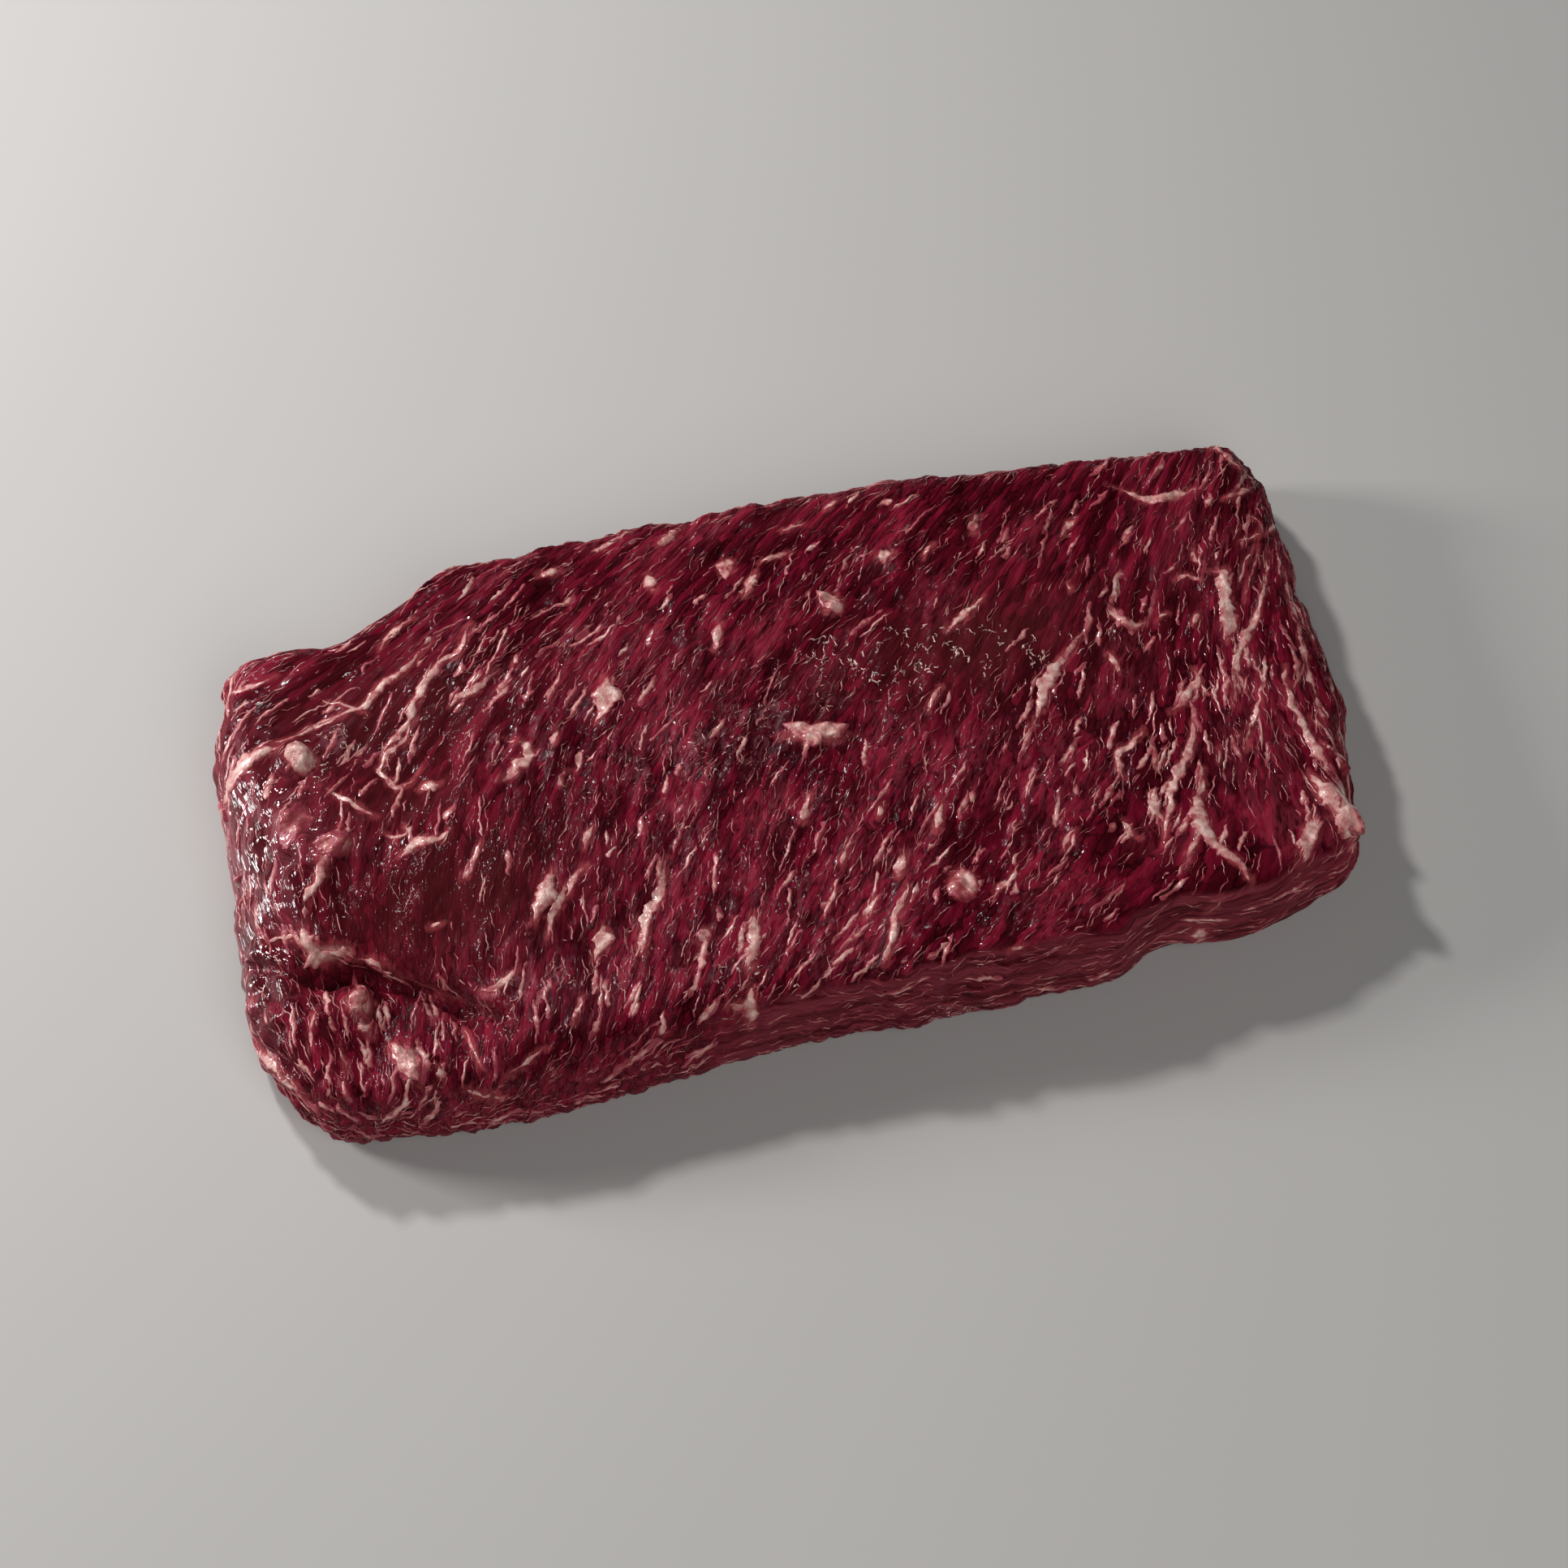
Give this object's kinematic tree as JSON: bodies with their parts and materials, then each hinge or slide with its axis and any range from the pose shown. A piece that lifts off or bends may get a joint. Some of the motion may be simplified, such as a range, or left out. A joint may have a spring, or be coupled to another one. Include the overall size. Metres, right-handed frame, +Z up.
{
  "type": "flank steak",
  "caption": "Raw flank steak, a long flat slab of beef with one end folded over and loose shreds of fat; a cut of meat for a counter, board or kitchen scene.",
  "frame": {"origin": "middle of the footprint's bounding box, on the flat underside that the steak rests on", "axes": "+Z up out of the table, +X along the steak from the thick folded end to the thinner end, +Y towards the long edge away from the fold"},
  "size_m": [0.2782, 0.1542, 0.0315],
  "materials": {
    "lean": "wet raw lean beef",
    "fat": "moist beef fat and connective tissue"
  },
  "bodies": {
    "root": {"steak": "lean"}
  },
  "joints": []
}
